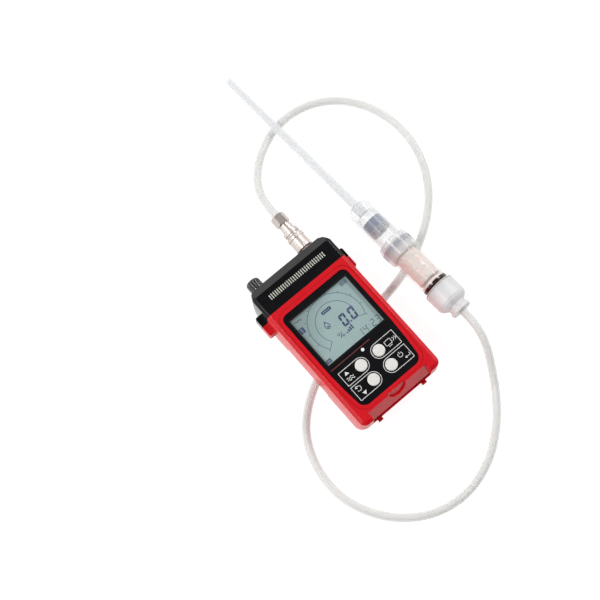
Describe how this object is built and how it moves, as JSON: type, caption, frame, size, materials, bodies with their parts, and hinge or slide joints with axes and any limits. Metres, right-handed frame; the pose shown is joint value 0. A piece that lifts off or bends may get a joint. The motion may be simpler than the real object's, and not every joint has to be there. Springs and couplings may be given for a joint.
{
  "type": "portable gas detector",
  "caption": "Hand-held pump-drawn combustible gas detector with a clear sampling hose, quick coupling and filter probe, lying on its back.",
  "frame": {"origin": "middle of the detector, without its hose and probe, on the surface it lies on", "axes": "+X to the detector's right seen from its face, +Y towards its head, +Z out of its face"},
  "size_m": [0.2175, 0.3434, 0.0367],
  "materials": {
    "case_red": "bright red moulded plastic, satin to gloss",
    "head_black": "glossy black moulded plastic",
    "panel_black": "high gloss black overlay",
    "part_black": "plain black inner plastic",
    "part_white": "plain white inner plastic",
    "window_clear": "clear window",
    "lcd_glass": "grey-green display glass",
    "button_white": "off-white speckled silicone",
    "rubber_grey": "silicone sheet",
    "rubber_black": "black seal rubber",
    "steel": "stainless steel",
    "nickel": "nickel plated brass",
    "nut_dark": "nickel plated hexagon nut",
    "board_green": "green circuit board",
    "led_red": "red lamp",
    "cell_wrap": "plain wrapped cell",
    "label_silver": "blank satin plate",
    "tube_clear": "milky clear soft tube",
    "nozzle_milky": "milky polypropylene",
    "holder_clear": "translucent plastic",
    "barrel_clear": "clear plastic barrel",
    "cartridge_blue": "blue-grey filter",
    "cotton": "cotton roll",
    "oring_brown": "dark red-brown rubber",
    "cap_white": "translucent white plastic"
  },
  "bodies": {
    "detector": {"alarm_board": "board_green", "alarm_leds": "led_red", "alarm_window": "window_clear", "backlight": "part_white", "battery_cells": "cell_wrap", "battery_contacts": "nickel", "board_chips": "part_black", "buzzer": "part_black", "case_screws": "steel", "case_seal": "rubber_black", "combustible_sensor": "steel", "coupling_body": "nickel", "coupling_nut": "nut_dark", "coupling_spring": "steel", "dome_switches": "steel", "dust_filter": "cotton", "exhaust_knob": "head_black", "exhaust_tube": "tube_clear", "front_case": "case_red", "front_panel": "panel_black", "head_case": "head_black", "head_seal": "rubber_black", "hinge_pins": "steel", "inlet_oring": "rubber_black", "inlet_port": "nickel", "inlet_tube": "tube_clear", "keypad_membrane": "rubber_grey", "lcd_frame": "part_black", "lcd_glass": "lcd_glass", "lcd_window": "window_clear", "main_board": "board_green", "probe_barrel": "barrel_clear", "probe_cap": "cap_white", "probe_oring": "oring_brown", "pump_body": "part_black", "pump_diaphragm": "rubber_black", "pump_motor": "steel", "pump_tube": "tube_clear", "rear_case": "case_red", "rear_label": "label_silver", "sample_hose": "tube_clear", "sensor_manifold": "part_black", "sensor_seal": "rubber_black", "status_led": "part_white"},
    "display_button": {"display_button": "button_white"},
    "power_button": {"power_button": "button_white"},
    "air_button": {"air_button": "button_white"},
    "reset_button": {"reset_button": "button_white"},
    "battery_door": {"battery_cover": "case_red"},
    "door_latch": {"cover_latch": "case_red"},
    "release_sleeve": {"coupling_sleeve": "nickel"},
    "pump_crank": {"pump_rotor": "steel"},
    "filter_head": {"filter_collar": "holder_clear", "membrane_filter": "part_white", "nozzle_holder": "holder_clear", "filter_cartridge": "cartridge_blue"},
    "nozzle": {"probe_nozzle": "nozzle_milky"}
  },
  "joints": [
    {"name": "display_press", "type": "slide", "parent": "detector", "child": "display_button", "axis": [0, 0, -1], "range_m": [0, 0.0008], "stiffness_N_per_m": 250},
    {"name": "power_press", "type": "slide", "parent": "detector", "child": "power_button", "axis": [0, 0, -1], "range_m": [0, 0.0008], "stiffness_N_per_m": 250},
    {"name": "air_press", "type": "slide", "parent": "detector", "child": "air_button", "axis": [0, 0, -1], "range_m": [0, 0.0008], "stiffness_N_per_m": 250},
    {"name": "reset_press", "type": "slide", "parent": "detector", "child": "reset_button", "axis": [0, 0, -1], "range_m": [0, 0.0008], "stiffness_N_per_m": 250},
    {"name": "battery_door_hinge", "type": "hinge", "parent": "detector", "child": "battery_door", "pos_m": [0, -0.0659, 0.0183], "axis": [-1, 0, 0], "range_deg": [0, 100]},
    {"name": "door_latch_slide", "type": "slide", "parent": "battery_door", "child": "door_latch", "axis": [0, 0, 1], "range_m": [0, 0.0015], "stiffness_N_per_m": 120},
    {"name": "sleeve_release", "type": "slide", "parent": "detector", "child": "release_sleeve", "axis": [0, 1, 0], "range_m": [0, 0.0018], "stiffness_N_per_m": 600, "deforming": ["coupling_spring"]},
    {"name": "pump_crank_spin", "type": "hinge", "parent": "detector", "child": "pump_crank", "pos_m": [-0.02, 0.035, 0.01], "axis": [0, 1, 0], "continuous": true},
    {"name": "filter_head_pull", "type": "slide", "parent": "detector", "child": "filter_head", "axis": [-0.0417, 0.9971, -0.063], "range_m": [0, 0.025]},
    {"name": "nozzle_pull", "type": "slide", "parent": "filter_head", "child": "nozzle", "axis": [-0.0417, 0.9971, -0.063], "range_m": [0, 0.012]}
  ]
}
